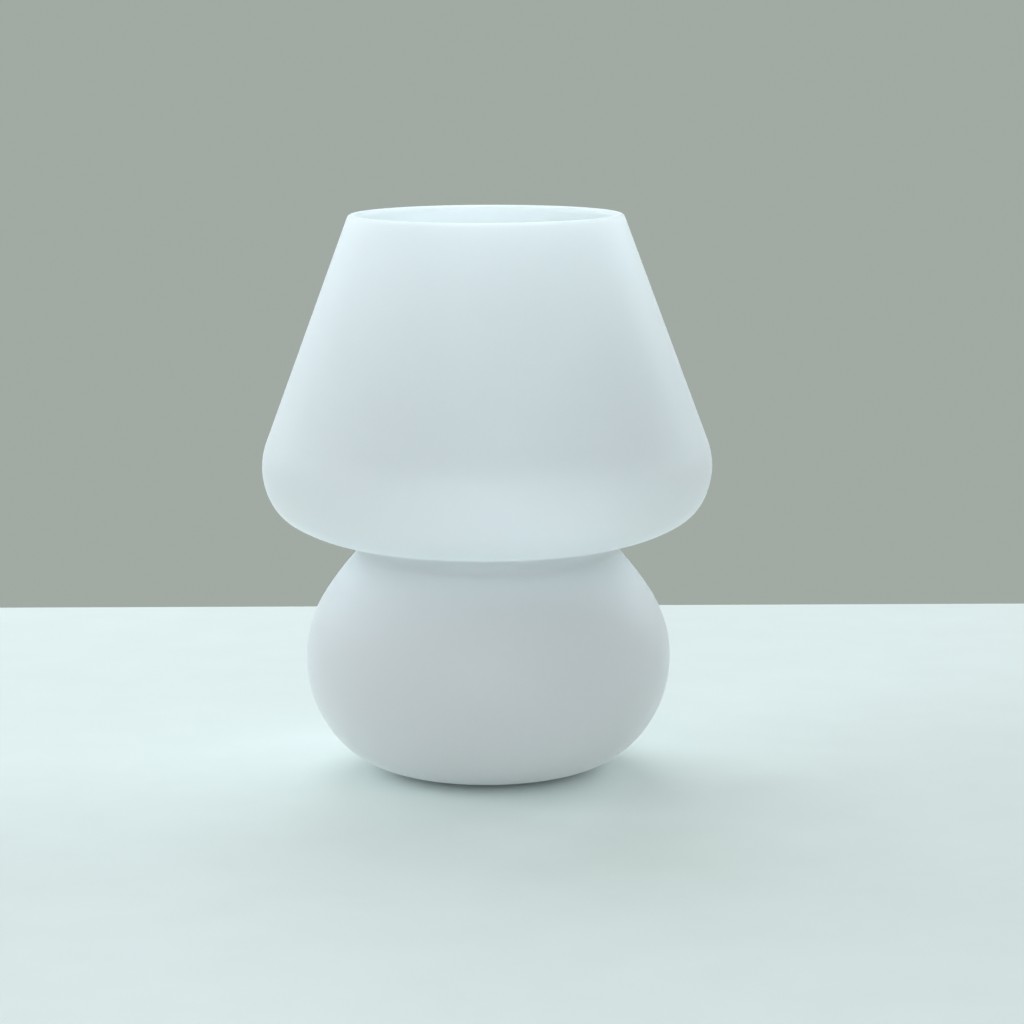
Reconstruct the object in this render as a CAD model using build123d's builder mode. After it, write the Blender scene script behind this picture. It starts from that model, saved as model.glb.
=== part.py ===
from build123d import *
import os
from math import acos, asin, atan2, cos, degrees, radians, sin, sqrt, tan

# Mushroom table lamp. Shade and base are one piece of blown satin opal glass, open at the
# top. The glass floor is clamped between two nuts on a hollow threaded stem, and the stem
# carries a side-entry coupler, an E27 lampholder and the bulb.
# Millimetres. +Z is up, the origin is on the table below the lamp's axis, +Y is the rear,
# where the cord enters.

# ------------------------------------------------------------------ driving dimensions
# Glass outline. Heights are above the glass's own foot, radii are to the outside.
glass_height = 235.5
glass_wall = 4.5
rim_radius = 57.6
rim_round = 2.0
shade_radius = 95.0
shoulder_radius = 30.0          # arc above and below the shade's widest circle
shoulder_turn = 28.7            # how far it turns below that circle, degrees
lower_shoulder_radius = 23.0
lower_shoulder_turn = 31.6
underside_radius = 61.0
neck_height = 94.15             # the narrowest circle, between base and shade
neck_fillet = 4.5
base_radius = 77.5
base_widest_height = 47.5
base_upper_radius = 50.0
base_upper_turn = 31.5
base_slope_radius = 119.0
base_lower_turn = 40.3
foot_radius = 34.0              # where the heel meets the flat of the foot
punt_slope = 50.0               # steepness of the pushed-up bottom, degrees
punt_round = 6.0
punt_inner_round = 1.5          # inside, round the foot

# Foot pads
pad_height = 1.5
pad_radius = 3.2
pad_round = 0.5
pad_count = 4

# Clamp through the glass floor
stem_radius = 5.0
stem_bore_radius = 4.0
stem_ground_gap = 2.0           # stem's lower end above the table
stem_tail = 0.5                 # stem below the lower nut
tube_end_chamfer = 0.4          # on the stem and the nipple
thread_clearance = 0.05
glass_hole_clearance = 1.2
gasket_radius = 13.5
gasket_thickness = 2.0
gasket_margin = 1.0             # flat glass round the gasket
collar_clearance = 0.15
clamp_plate_thickness = 1.5
clamp_plate_inset = 0.5
spring_washer_radius = 8.5
spring_washer_thickness = 1.0
spring_washer_split = 1.2
nut_flats = 14.0
nut_thickness = 3.0
nut_bevel = 0.7                 # height of the turned-off corners
dish_thickness = 1.2
dish_skirt = 1.6                # how far the dish laps down round the gasket
dish_clearance = 0.3

# Side-entry coupler on the stem
coupler_radius = 9.0
coupler_chamfer = 0.7
stem_engagement = 8.0
chamber_height = 10.0
chamber_radius = 6.5
nipple_engagement = 6.0
side_boss_radius = 6.8
side_boss_reach = 11.5          # face of the boss from the axis
side_hole_radius = 4.3
bush_flange_radius = 5.8
bush_flange = 1.2
bush_round = 0.6
bush_wall = 1.0

# Lampholder, E27
holder_radius = 20.5
holder_height = 55.0
holder_wall = 2.2
holder_round = 2.2
holder_cap_height = 11.0
holder_cap_taper = 7.7          # height of the cap's cone
holder_cap_foot_radius = 12.0
holder_boss_radius = 8.0
collar_height = 8.0             # threaded collar of the cap inside the shell
collar_wall = 1.8
flange_thickness = 3.0
insert_rise = 6.0               # insert above its flange
insert_clearance = 0.3
lip_thickness = 3.0
lip_clearance = 0.9             # lip round the screw shell
grip_count = 30                 # flutes that give the fingers a hold on the shell
grip_radius = 1.0
grip_depth = 0.6
grip_start = 2.5                # above the shell's lower edge
grip_length = 18.0
screw_shell_sheet = 0.5
screw_shell_height = 22.0
screw_shell_floor_radius = 8.5
terminal_spacing = 17.0
terminal_width = 6.0
terminal_length = 8.0
terminal_height = 7.0
terminal_clearance = 0.1
terminal_screw_radius = 1.5
terminal_head_radius = 2.5
terminal_head_height = 1.5
terminal_head_chamfer = 0.3
terminal_screw_offset = 2.0     # screw hole and wire hole, each from the block's middle
terminal_screw_length = 5.0
wire_hole_radius = 1.3
contact_width = 5.0
contact_sheet = 0.5
contact_rise = 1.5
contact_gap = 0.3
contact_foot = 4.0              # flat length at the rivet
contact_step = 2.0              # length over which the tongue rises
contact_reach = 4.0             # tongue past the bulb's axis

# Bulb, A60 with an E27 cap
bulb_length = 108.0
bulb_radius = 30.0
bulb_cap_length = 27.0          # from the tip to the top of the cap
thread_radius = 13.1            # over the cap's thread
screw_clearance = 0.3
bulb_cap_sheet = 0.5
bulb_tip_radius = 4.8
bulb_tip_height = 1.5
bulb_tip_round = 0.5
insulator_height = 3.5
insulator_depth = 2.5           # insulator inside the cap
insulator_rim = 1.2             # flat round the tip
housing_neck_depth = 12.0       # housing inside the cap
housing_shoulder = 0.9          # housing stands proud of the cap
housing_wall = 1.5
housing_deck = 1.5              # under the board
housing_deck_rim = 6.0          # solid plastic round the hollow, under the board
housing_top_below_centre = 15.0  # joint of housing and diffuser below the globe's centre
diffuser_wall = 1.2
led_board_radius = 21.0
led_board_thickness = 1.5
led_count = 12
led_circle_radius = 15.0
led_size = 2.8
led_height = 0.8

# Cord inlet through the rear of the glass, square to its surface
inlet_height = 22.0             # above the table, on the outer surface
inlet_hole_radius = 6.0
cord_bore_radius = 3.3
inlet_flange_radius = 8.8
inlet_flange = 2.0
inlet_flange_round = 1.0
inlet_mouth_round = 0.5
inlet_flange_bite = 1.5         # flange stock that the curved glass cuts back

# ------------------------------------------------------------------ derived levels
glass_foot_z = pad_height
glass_top_z = glass_foot_z + glass_height
neck_z = glass_foot_z + neck_height
base_widest_z = glass_foot_z + base_widest_height

stem_bottom_z = stem_ground_gap
lower_nut_z = stem_bottom_z + stem_tail
spring_washer_z = lower_nut_z + nut_thickness
clamp_plate_z = spring_washer_z + spring_washer_thickness
lower_gasket_z = clamp_plate_z + clamp_plate_thickness
punt_z = lower_gasket_z + gasket_thickness
floor_z = punt_z + glass_wall
dish_z = floor_z + gasket_thickness
upper_nut_z = dish_z + dish_thickness
coupler_z = upper_nut_z + nut_thickness
stem_top_z = coupler_z + stem_engagement
nipple_z = stem_top_z + chamber_height
holder_z = nipple_z + nipple_engagement
holder_top_z = holder_z + holder_height
shell_z = holder_z + holder_cap_height
flange_z = shell_z + collar_height
insert_shoulder_z = flange_z + flange_thickness
insert_top_z = insert_shoulder_z + insert_rise
bulb_z = insert_top_z + contact_rise + contact_gap
insulator_z = bulb_z + bulb_tip_height
bulb_cap_z = insulator_z + insulator_height
bulb_cap_top_z = bulb_z + bulb_cap_length
globe_centre_z = bulb_z + bulb_length - bulb_radius
diffuser_z = globe_centre_z - housing_top_below_centre

# ------------------------------------------------------------------ derived radii
largest_round = 0.45            # share of the wall that a round on its edge may take
glass_hole_radius = stem_radius + glass_hole_clearance
tapped_radius = stem_radius + thread_clearance
screw_shell_inner = thread_radius + screw_clearance
screw_shell_outer = screw_shell_inner + screw_shell_sheet
shell_bore = holder_radius - holder_wall
collar_radius = shell_bore - 2 * thread_clearance
collar_bore = collar_radius - collar_wall
lip_radius = screw_shell_outer + lip_clearance
bulb_cap_bore = thread_radius - bulb_cap_sheet

# ------------------------------------------------------------------ glass outline
def radial(angle):
    """Unit vector at an angle above level, in the plane of (radius, height)."""
    return Vector(cos(radians(angle)), sin(radians(angle)))


# The heel and the arc above it share one tangent, and run from the base's widest circle
# to the flat of the foot.
turn_cos = cos(radians(base_lower_turn))
turn_sin = sin(radians(base_lower_turn))
base_overhang = base_radius - foot_radius
turn_sum = turn_cos + turn_sin - 1
base_lower_radius = (base_widest_height * turn_cos - base_overhang * (1 - turn_sin)) / turn_sum
heel_radius = (base_overhang * turn_sin - base_widest_height * (1 - turn_cos)) / turn_sum

# The neck's fillet is tangent to the slope below it. Its centre is at the neck's height.
bowl_centre = Vector(base_radius - base_upper_radius, base_widest_z)
slope_centre = bowl_centre + radial(base_upper_turn) * (base_upper_radius - base_slope_radius)
slope_end = degrees(asin((neck_z - slope_centre.Y) / (base_slope_radius + neck_fillet)))
neck_centre = slope_centre + radial(slope_end) * (base_slope_radius + neck_fillet)

# The shade's underside rests on that fillet, which gives the shade's own height.
underside_start = -(shoulder_turn + lower_shoulder_turn)
shoulder_to_underside = (
    radial(-shoulder_turn) * (shoulder_radius - lower_shoulder_radius)
    + radial(underside_start) * (lower_shoulder_radius - underside_radius)
)
underside_x = shade_radius - shoulder_radius + shoulder_to_underside.X
underside_end = -degrees(acos((neck_centre.X - underside_x) / (underside_radius + neck_fillet)))
underside_centre = neck_centre - radial(underside_end) * (underside_radius + neck_fillet)
shoulder_centre = underside_centre - shoulder_to_underside

# The shade's cone is tangent to the shoulder and ends at the rim.
rim_corner = Vector(rim_radius, glass_top_z)
centre_to_rim = rim_corner - shoulder_centre
cone_tilt = degrees(atan2(centre_to_rim.Y, centre_to_rim.X)
                    - acos(shoulder_radius / centre_to_rim.length))
cone_way = radial(cone_tilt + 90)

# The pushed-up bottom clears the gasket with its flat.
punt_corner = punt_round * tan(radians(punt_slope / 2))
punt_radius = gasket_radius + gasket_margin + punt_corner
ring_inner_radius = punt_radius + (punt_z - glass_foot_z) / tan(radians(punt_slope))
pad_circle_radius = (ring_inner_radius + punt_corner + foot_radius) / 2

os.makedirs("parts", exist_ok=True)


def finish(builder, name):
    """Label a finished piece and write it."""
    builder.part.label = name
    export_step(builder.part, f"parts/{name}.step")


def washer(radius, hole_radius, z, thickness):
    """A flat ring round the lamp's axis."""
    with BuildPart() as ring:
        with BuildSketch(Plane.XY.offset(z)):
            Circle(radius)
            Circle(hole_radius, mode=Mode.SUBTRACT)
        extrude(amount=thickness)
    return ring


def hex_nut(z):
    """A thin hexagon nut for the stem, with its corners turned off."""
    with BuildPart() as nut:
        with BuildSketch(Plane.XY.offset(z)):
            RegularPolygon(nut_flats / 2, 6, major_radius=False)
        extrude(amount=nut_thickness)
        corner_radius = nut_flats / sqrt(3)
        with BuildSketch(Plane.XZ):
            with BuildLine():
                Polyline(
                    (0, z),
                    (nut_flats / 2, z),
                    (corner_radius, z + nut_bevel),
                    (corner_radius, z + nut_thickness - nut_bevel),
                    (nut_flats / 2, z + nut_thickness),
                    (0, z + nut_thickness),
                    close=True,
                )
            make_face()
        revolve(axis=Axis.Z, mode=Mode.INTERSECT)
        with BuildSketch(Plane.XY.offset(z)):
            Circle(tapped_radius)
        extrude(amount=nut_thickness, mode=Mode.SUBTRACT)
    return nut


# ------------------------------------------------------------------ glass body
def glass_outline(inset):
    """Half outline, as (radius, height), of the glass or, inset by the wall, of its hollow.

    Every arc keeps its centre when it is inset, so the wall is even.
    """
    ring_shift = inset * tan(radians(punt_slope / 2))
    with BuildSketch() as outline:
        with BuildLine():
            bowl_upper = JernArc(
                (base_radius - inset, base_widest_z),
                (0, 1),
                base_upper_radius - inset,
                base_upper_turn,
            )
            slope = JernArc(
                bowl_upper @ 1,
                bowl_upper % 1,
                base_slope_radius - inset,
                slope_end - base_upper_turn,
            )
            neck = JernArc(slope @ 1, slope % 1, neck_fillet + inset, underside_end - slope_end)
            underside = JernArc(
                neck @ 1, neck % 1, underside_radius - inset, underside_start - underside_end
            )
            lower_shoulder = JernArc(
                underside @ 1, underside % 1, lower_shoulder_radius - inset, lower_shoulder_turn
            )
            shoulder = JernArc(
                lower_shoulder @ 1,
                lower_shoulder % 1,
                shoulder_radius - inset,
                shoulder_turn + cone_tilt,
            )
            cone_length = (glass_top_z - (shoulder @ 1).Y) / cone_way.Y
            cone = Line(shoulder @ 1, shoulder @ 1 + cone_way * cone_length)
            bowl_lower = JernArc(
                bowl_upper @ 0, (0, -1), base_lower_radius - inset, -base_lower_turn
            )
            heel = JernArc(
                bowl_lower @ 1, bowl_lower % 1, heel_radius - inset, base_lower_turn - 90
            )
            punt = FilletPolyline(
                heel @ 1,
                (ring_inner_radius + ring_shift, glass_foot_z + inset),
                (punt_radius + ring_shift, punt_z + inset),
                (0, punt_z + inset),
                radius=[max(punt_round - inset, punt_inner_round), punt_round + inset],
            )
            Polyline(punt @ 1, (0, glass_top_z), cone @ 1)
        make_face()
    return outline.sketch


with BuildSketch() as wall_section:
    add(glass_outline(0))
    add(glass_outline(glass_wall), mode=Mode.SUBTRACT)
    rim_corners = wall_section.vertices().group_by(Axis.Y)[-1]
    fillet(rim_corners, min(rim_round, largest_round * glass_wall))

# The inlet's hole is square to the glass, on the arc below the base's widest circle.
inlet_tilt = asin((base_widest_z - inlet_height) / base_lower_radius)
inlet_radius = base_radius - base_lower_radius * (1 - cos(inlet_tilt))
inlet_way = Vector(0, cos(inlet_tilt), -sin(inlet_tilt))
inlet_plane = Plane(
    origin=(0, inlet_radius, inlet_height), x_dir=(1, 0, 0), z_dir=inlet_way
)

with BuildPart() as glass_body:
    with BuildSketch(Plane.XZ):
        add(wall_section.sketch)
    revolve(axis=Axis.Z)
    with BuildSketch(Plane.XY.offset(punt_z)):
        Circle(glass_hole_radius)
    extrude(amount=glass_wall, mode=Mode.SUBTRACT)
    with BuildSketch(inlet_plane.offset(-2 * glass_wall)):
        Circle(inlet_hole_radius)
    extrude(amount=3 * glass_wall, mode=Mode.SUBTRACT)
finish(glass_body, "glass_body")

# ------------------------------------------------------------------ cord grommet
# A bush with a flange each side of the wall. The glass cuts both flanges to its own curve.
inlet_axis = Axis(inlet_plane.origin, inlet_way)
grommet_length = glass_wall + 2 * inlet_flange
grommet_inner_plane = inlet_plane.offset(-glass_wall - inlet_flange)
with BuildPart() as cord_grommet:
    with BuildSketch(grommet_inner_plane):
        Circle(inlet_flange_radius)
    extrude(amount=inlet_flange + inlet_flange_bite)
    with BuildSketch(inlet_plane.offset(-inlet_flange_bite)):
        Circle(inlet_flange_radius)
    extrude(amount=inlet_flange + inlet_flange_bite)
    flange_ends = cord_grommet.edges().group_by(inlet_axis)
    fillet(flange_ends[0] + flange_ends[-1], inlet_flange_round)
    with BuildSketch(grommet_inner_plane):
        Circle(inlet_hole_radius)
    extrude(amount=grommet_length)
    with BuildSketch(grommet_inner_plane):
        Circle(cord_bore_radius)
    extrude(amount=grommet_length, mode=Mode.SUBTRACT)
    mouths = cord_grommet.edges().filter_by(GeomType.CIRCLE).filter_by(
        lambda edge: abs(edge.radius - cord_bore_radius) < thread_clearance
    )
    fillet(mouths, inlet_mouth_round)
    add(glass_body.part, mode=Mode.SUBTRACT)
finish(cord_grommet, "cord_grommet")

# ------------------------------------------------------------------ foot pads
for number in range(pad_count):
    pad_angle = (number + 0.5) * 360 / pad_count
    with BuildPart() as foot_pad:
        with BuildSketch():
            with PolarLocations(pad_circle_radius, 1, start_angle=pad_angle):
                Circle(pad_radius)
        extrude(amount=pad_height)
        fillet(foot_pad.edges().group_by(Axis.Z)[0], pad_round)
    finish(foot_pad, f"foot_pad_{number + 1}")

# ------------------------------------------------------------------ clamp below the floor
with BuildPart() as lower_gasket:
    add(washer(gasket_radius, stem_radius + collar_clearance, lower_gasket_z, gasket_thickness))
    with BuildSketch(Plane.XY.offset(punt_z)):
        Circle(glass_hole_radius - collar_clearance)
        Circle(stem_radius + collar_clearance, mode=Mode.SUBTRACT)
    extrude(amount=glass_wall - collar_clearance)
finish(lower_gasket, "lower_gasket")

clamp_plate = washer(
    gasket_radius - clamp_plate_inset, tapped_radius, clamp_plate_z, clamp_plate_thickness
)
finish(clamp_plate, "clamp_plate")

with BuildPart() as spring_washer:
    add(washer(spring_washer_radius, tapped_radius, spring_washer_z, spring_washer_thickness))
    with BuildSketch(Plane.XY.offset(spring_washer_z)):
        with Locations((spring_washer_radius / 2, 0)):
            Rectangle(spring_washer_radius, spring_washer_split)
    extrude(amount=spring_washer_thickness, mode=Mode.SUBTRACT)
finish(spring_washer, "spring_washer")

lower_nut = hex_nut(lower_nut_z)
finish(lower_nut, "lower_nut")


def threaded_tube(z, length):
    """A length of the hollow tube that the stem and the nipple are cut from."""
    with BuildPart() as tube:
        add(washer(stem_radius, stem_bore_radius, z, length))
        outer_ends = tube.edges().filter_by(GeomType.CIRCLE).group_by(SortBy.RADIUS)[-1]
        chamfer(outer_ends, tube_end_chamfer)
    return tube


stem_tube = threaded_tube(stem_bottom_z, stem_top_z - stem_bottom_z)
finish(stem_tube, "stem_tube")

# ------------------------------------------------------------------ clamp above the floor
upper_gasket = washer(gasket_radius, stem_radius + collar_clearance, floor_z, gasket_thickness)
finish(upper_gasket, "upper_gasket")

# The dish caps the gasket and laps down round its edge.
dish_bore = gasket_radius + dish_clearance
dish_skirt_z = dish_z - min(dish_skirt, gasket_thickness - dish_clearance)
with BuildPart() as seat_dish:
    with BuildSketch(Plane.XY.offset(dish_skirt_z)):
        Circle(dish_bore + dish_thickness)
    extrude(amount=upper_nut_z - dish_skirt_z)
    fillet(seat_dish.edges().group_by(Axis.Z)[-1], dish_thickness)
    with BuildSketch(Plane.XY.offset(dish_skirt_z)):
        Circle(dish_bore)
    extrude(amount=dish_z - dish_skirt_z, mode=Mode.SUBTRACT)
    with BuildSketch(Plane.XY.offset(dish_z)):
        Circle(tapped_radius)
    extrude(amount=dish_thickness, mode=Mode.SUBTRACT)
finish(seat_dish, "seat_dish")

upper_nut = hex_nut(upper_nut_z)
finish(upper_nut, "upper_nut")

# ------------------------------------------------------------------ side-entry coupler
# Tapped at both ends for the stem and the nipple, with a chamber between them where the
# cord turns upwards. The side boss faces the inlet in the glass.
side_hole_z = stem_top_z + chamber_height / 2
side_plane = Plane(origin=(0, 0, side_hole_z), x_dir=(1, 0, 0), z_dir=(0, 1, 0))
with BuildPart() as cord_coupler:
    with BuildSketch(Plane.XY.offset(coupler_z)):
        Circle(coupler_radius)
    extrude(amount=holder_z - coupler_z)
    chamfer(cord_coupler.edges().filter_by(GeomType.CIRCLE), coupler_chamfer)
    with BuildSketch(side_plane):
        Circle(side_boss_radius)
    extrude(amount=side_boss_reach)
    with BuildSketch(side_plane):
        Circle(side_hole_radius)
    extrude(amount=side_boss_reach, mode=Mode.SUBTRACT)
    with BuildSketch(Plane.XY.offset(stem_top_z)):
        Circle(chamber_radius)
    extrude(amount=chamber_height, mode=Mode.SUBTRACT)
    with BuildSketch(Plane.XY.offset(coupler_z)):
        Circle(tapped_radius)
    extrude(amount=holder_z - coupler_z, mode=Mode.SUBTRACT)
finish(cord_coupler, "cord_coupler")

bush_radius = side_hole_radius - thread_clearance
with BuildPart() as coupler_bush:
    with BuildSketch(side_plane.offset(side_boss_reach)):
        Circle(bush_flange_radius)
    extrude(amount=bush_flange)
    fillet(coupler_bush.edges().group_by(Axis.Y)[-1], bush_round)
    with BuildSketch(side_plane.offset(chamber_radius)):
        Circle(bush_radius)
    extrude(amount=side_boss_reach - chamber_radius)
    with BuildSketch(side_plane):
        Circle(bush_radius - bush_wall)
    extrude(amount=side_boss_reach + bush_flange, mode=Mode.SUBTRACT)
finish(coupler_bush, "coupler_bush")

short_nipple = threaded_tube(nipple_z, 2 * nipple_engagement)
finish(short_nipple, "short_nipple")

# ------------------------------------------------------------------ lampholder
# The cap screws on the nipple, the insert's flange rests on the cap's collar, and the
# shell screws over the collar and holds the flange down.
with BuildPart() as holder_cap:
    with BuildSketch(Plane.XZ):
        with BuildLine():
            FilletPolyline(
                (0, holder_z),
                (holder_cap_foot_radius, holder_z),
                (holder_radius, holder_z + holder_cap_taper),
                (holder_radius, shell_z),
                radius=holder_round,
            )
            Polyline(
                (holder_radius, shell_z),
                (collar_radius, shell_z),
                (collar_radius, flange_z),
                (0, flange_z),
                (0, holder_z),
            )
        make_face()
        with BuildLine():
            FilletPolyline(
                (0, holder_z + holder_wall),
                (holder_cap_foot_radius - holder_wall, holder_z + holder_wall),
                (collar_bore, holder_z + holder_cap_taper),
                (collar_bore, flange_z),
                radius=holder_round,
            )
            Polyline(
                (collar_bore, flange_z),
                (0, flange_z),
                (0, holder_z + holder_wall),
            )
        make_face(mode=Mode.SUBTRACT)
    revolve(axis=Axis.Z)
    with BuildSketch(Plane.XY.offset(holder_z + holder_wall)):
        Circle(holder_boss_radius)
    extrude(amount=nipple_engagement - holder_wall)
    with BuildSketch(Plane.XY.offset(holder_z)):
        Circle(tapped_radius)
    extrude(amount=nipple_engagement, mode=Mode.SUBTRACT)
finish(holder_cap, "holder_cap")

with BuildPart() as holder_shell:
    with BuildSketch(Plane.XY.offset(shell_z)):
        Circle(holder_radius)
    extrude(amount=holder_top_z - shell_z)
    fillet(holder_shell.edges().group_by(Axis.Z)[-1], holder_round)
    with BuildSketch(Plane.XY.offset(shell_z)):
        Circle(shell_bore)
    extrude(amount=insert_shoulder_z - shell_z, mode=Mode.SUBTRACT)
    with BuildSketch(Plane.XY.offset(insert_shoulder_z)):
        Circle(collar_bore)
    extrude(amount=holder_top_z - lip_thickness - insert_shoulder_z, mode=Mode.SUBTRACT)
    with BuildSketch(Plane.XY.offset(holder_top_z - lip_thickness)):
        Circle(lip_radius)
    extrude(amount=lip_thickness, mode=Mode.SUBTRACT)
    with BuildSketch(Plane.XY.offset(shell_z + grip_start)):
        with PolarLocations(holder_radius + grip_radius - grip_depth, grip_count):
            Circle(grip_radius)
    extrude(amount=grip_length, mode=Mode.SUBTRACT)
finish(holder_shell, "holder_shell")

# Ceramic insert with two pockets for the terminal blocks underneath.
insert_radius = collar_bore - insert_clearance
insert_z = shell_z
with BuildPart() as holder_insert:
    with BuildSketch(Plane.XY.offset(insert_z)):
        Circle(insert_radius)
    extrude(amount=insert_top_z - insert_z)
    with BuildSketch(Plane.XY.offset(flange_z)):
        Circle(collar_radius)
    extrude(amount=flange_thickness)
    with BuildSketch(Plane.XY.offset(insert_z)):
        with GridLocations(terminal_spacing, 0, 2, 1):
            Rectangle(
                terminal_width + 2 * terminal_clearance,
                terminal_length + 2 * terminal_clearance,
            )
    extrude(amount=terminal_height, mode=Mode.SUBTRACT)
finish(holder_insert, "holder_insert")

# Brass blocks, each with a screw hole and a wire hole side by side.
with BuildPart() as terminal_blocks:
    with BuildSketch(Plane.XY.offset(insert_z)):
        with GridLocations(terminal_spacing, 0, 2, 1):
            Rectangle(terminal_width, terminal_length)
        with Locations((0, terminal_screw_offset)):
            with GridLocations(terminal_spacing, 0, 2, 1):
                Circle(terminal_screw_radius + thread_clearance, mode=Mode.SUBTRACT)
        with Locations((0, -terminal_screw_offset)):
            with GridLocations(terminal_spacing, 0, 2, 1):
                Circle(wire_hole_radius, mode=Mode.SUBTRACT)
    extrude(amount=terminal_height)
finish(terminal_blocks, "terminal_blocks")

with BuildPart() as terminal_screws:
    with BuildSketch(Plane.XY.offset(insert_z - terminal_head_height)):
        with Locations((0, terminal_screw_offset)):
            with GridLocations(terminal_spacing, 0, 2, 1):
                Circle(terminal_head_radius)
    extrude(amount=terminal_head_height)
    chamfer(terminal_screws.edges().group_by(Axis.Z)[0], terminal_head_chamfer)
    with BuildSketch(Plane.XY.offset(insert_z)):
        with Locations((0, terminal_screw_offset)):
            with GridLocations(terminal_spacing, 0, 2, 1):
                Circle(terminal_screw_radius)
    extrude(amount=terminal_screw_length)
finish(terminal_screws, "terminal_screws")

# Sheet-metal shell with an inturned floor that sits on the insert.
with BuildPart() as screw_shell:
    with BuildSketch(Plane.XY.offset(insert_top_z)):
        Circle(screw_shell_outer)
    extrude(amount=screw_shell_height)
    with BuildSketch(Plane.XY.offset(insert_top_z + screw_shell_sheet)):
        Circle(screw_shell_inner)
    extrude(amount=screw_shell_height, mode=Mode.SUBTRACT)
    with BuildSketch(Plane.XY.offset(insert_top_z)):
        Circle(screw_shell_floor_radius)
    extrude(amount=screw_shell_sheet, mode=Mode.SUBTRACT)
finish(screw_shell, "screw_shell")

# Spring tongue, fixed at one side and raised under the bulb's tip.
contact_start = -(screw_shell_floor_radius - contact_sheet)
contact_low_z = insert_top_z + contact_sheet / 2
contact_high_z = insert_top_z + contact_rise - contact_sheet / 2
with BuildPart() as centre_contact:
    with BuildSketch(Plane.XZ):
        with BuildLine():
            FilletPolyline(
                (contact_start, contact_low_z),
                (contact_start + contact_foot, contact_low_z),
                (contact_start + contact_foot + contact_step, contact_high_z),
                (contact_reach, contact_high_z),
                radius=contact_sheet,
            )
        trace(line_width=contact_sheet)
    extrude(amount=contact_width / 2, both=True)
finish(centre_contact, "centre_contact")

# ------------------------------------------------------------------ bulb
with BuildPart() as bulb_tip:
    with BuildSketch(Plane.XY.offset(bulb_z)):
        Circle(bulb_tip_radius)
    extrude(amount=bulb_tip_height)
    fillet(bulb_tip.edges().group_by(Axis.Z)[0], bulb_tip_round)
finish(bulb_tip, "bulb_tip")

insulator_radius = bulb_cap_bore - thread_clearance
with BuildPart() as bulb_insulator:
    with BuildSketch(Plane.XZ):
        with BuildLine():
            Polyline(
                (0, insulator_z),
                (bulb_tip_radius + insulator_rim, insulator_z),
                (insulator_radius, bulb_cap_z),
                (insulator_radius, bulb_cap_z + insulator_depth),
                (0, bulb_cap_z + insulator_depth),
                close=True,
            )
        make_face()
    revolve(axis=Axis.Z)
finish(bulb_insulator, "bulb_insulator")

bulb_cap = washer(thread_radius, bulb_cap_bore, bulb_cap_z, bulb_cap_top_z - bulb_cap_z)
finish(bulb_cap, "bulb_cap")

# The housing flares from the cap to the globe and meets it in one smooth line.
joint_radius = sqrt(bulb_radius**2 - housing_top_below_centre**2)
housing_foot_radius = thread_radius + housing_shoulder
housing_bore = insulator_radius - housing_wall
with BuildPart() as bulb_housing:
    with BuildSketch(Plane.XZ):
        with BuildLine():
            flare = Spline(
                (housing_foot_radius, bulb_cap_top_z),
                (joint_radius, diffuser_z),
                tangents=[(0, 1), (housing_top_below_centre, joint_radius)],
            )
            Polyline(
                flare @ 1,
                (0, diffuser_z),
                (0, bulb_cap_top_z - housing_neck_depth),
                (insulator_radius, bulb_cap_top_z - housing_neck_depth),
                (insulator_radius, bulb_cap_top_z),
                flare @ 0,
            )
        make_face()
        with BuildLine():
            Polyline(
                (0, bulb_cap_top_z - housing_neck_depth),
                (housing_bore, bulb_cap_top_z - housing_neck_depth),
                (housing_bore, bulb_cap_top_z),
                (joint_radius - housing_deck_rim, diffuser_z - housing_deck),
                (0, diffuser_z - housing_deck),
                close=True,
            )
        make_face(mode=Mode.SUBTRACT)
    revolve(axis=Axis.Z)
finish(bulb_housing, "bulb_housing")

with BuildPart() as bulb_led_board:
    with BuildSketch(Plane.XY.offset(diffuser_z)):
        Circle(led_board_radius)
    extrude(amount=led_board_thickness)
    with BuildSketch(Plane.XY.offset(diffuser_z + led_board_thickness)):
        with PolarLocations(led_circle_radius, led_count):
            Rectangle(led_size, led_size)
    extrude(amount=led_height)
finish(bulb_led_board, "bulb_led_board")

with BuildPart() as bulb_diffuser:
    with BuildSketch(Plane.XZ):
        with Locations((0, globe_centre_z)):
            Circle(bulb_radius)
            Circle(bulb_radius - diffuser_wall, mode=Mode.SUBTRACT)
        with Locations((0, diffuser_z)):
            Rectangle(
                bulb_radius, 2 * bulb_radius, align=(Align.MIN, Align.MIN), mode=Mode.INTERSECT
            )
    revolve(axis=Axis.Z)
finish(bulb_diffuser, "bulb_diffuser")
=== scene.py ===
from math import acos, asin, atan2, ceil, cos, degrees, pi, radians, sin, tan
import bmesh
import bpy
from mathutils import Matrix, Vector


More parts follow.
